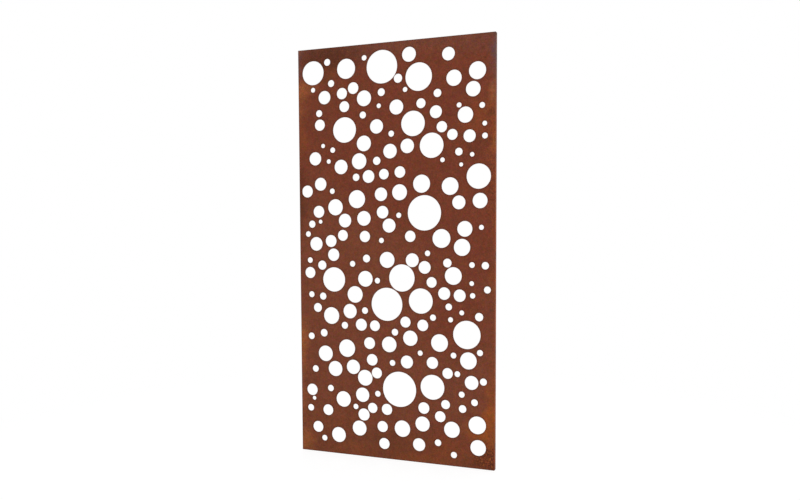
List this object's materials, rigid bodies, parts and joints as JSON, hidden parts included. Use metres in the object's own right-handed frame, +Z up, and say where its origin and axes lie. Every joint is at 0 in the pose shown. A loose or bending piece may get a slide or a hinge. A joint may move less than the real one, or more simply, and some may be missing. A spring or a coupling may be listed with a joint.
{
  "type": "laser cut metal screen",
  "caption": "Tall flat panel of rusted steel sheet pierced all over with round holes of many sizes, stiffened by an edge of flat bar welded on behind.",
  "frame": {"origin": "under the middle of the panel, at half its depth, level with its bottom edge", "axes": "+X along the width to the viewer's right seen from the front, +Y to the back, so the pierced front face looks along -Y, +Z up"},
  "size_m": [0.9, 0.022, 1.8],
  "materials": {
    "rusted_sheet": null,
    "rusted_edge": "matt rust, a little lighter than the face",
    "weld_metal": "dark, slightly smoother rusted weld metal"
  },
  "bodies": {
    "root": {"face_sheet": "rusted_sheet", "edge_bar_left": "rusted_edge", "edge_bar_right": "rusted_edge", "edge_bar_bottom": "rusted_edge", "edge_bar_top": "rusted_edge", "stitch_weld_left_1": "weld_metal", "stitch_weld_left_2": "weld_metal", "stitch_weld_left_3": "weld_metal", "stitch_weld_left_4": "weld_metal", "stitch_weld_left_5": "weld_metal", "stitch_weld_right_1": "weld_metal", "stitch_weld_right_2": "weld_metal", "stitch_weld_right_3": "weld_metal", "stitch_weld_right_4": "weld_metal", "stitch_weld_right_5": "weld_metal", "stitch_weld_bottom_1": "weld_metal", "stitch_weld_bottom_2": "weld_metal", "stitch_weld_bottom_3": "weld_metal", "stitch_weld_top_1": "weld_metal", "stitch_weld_top_2": "weld_metal", "stitch_weld_top_3": "weld_metal", "corner_weld_bottom_left": "weld_metal", "corner_weld_bottom_right": "weld_metal", "corner_weld_top_left": "weld_metal", "corner_weld_top_right": "weld_metal"}
  },
  "joints": []
}
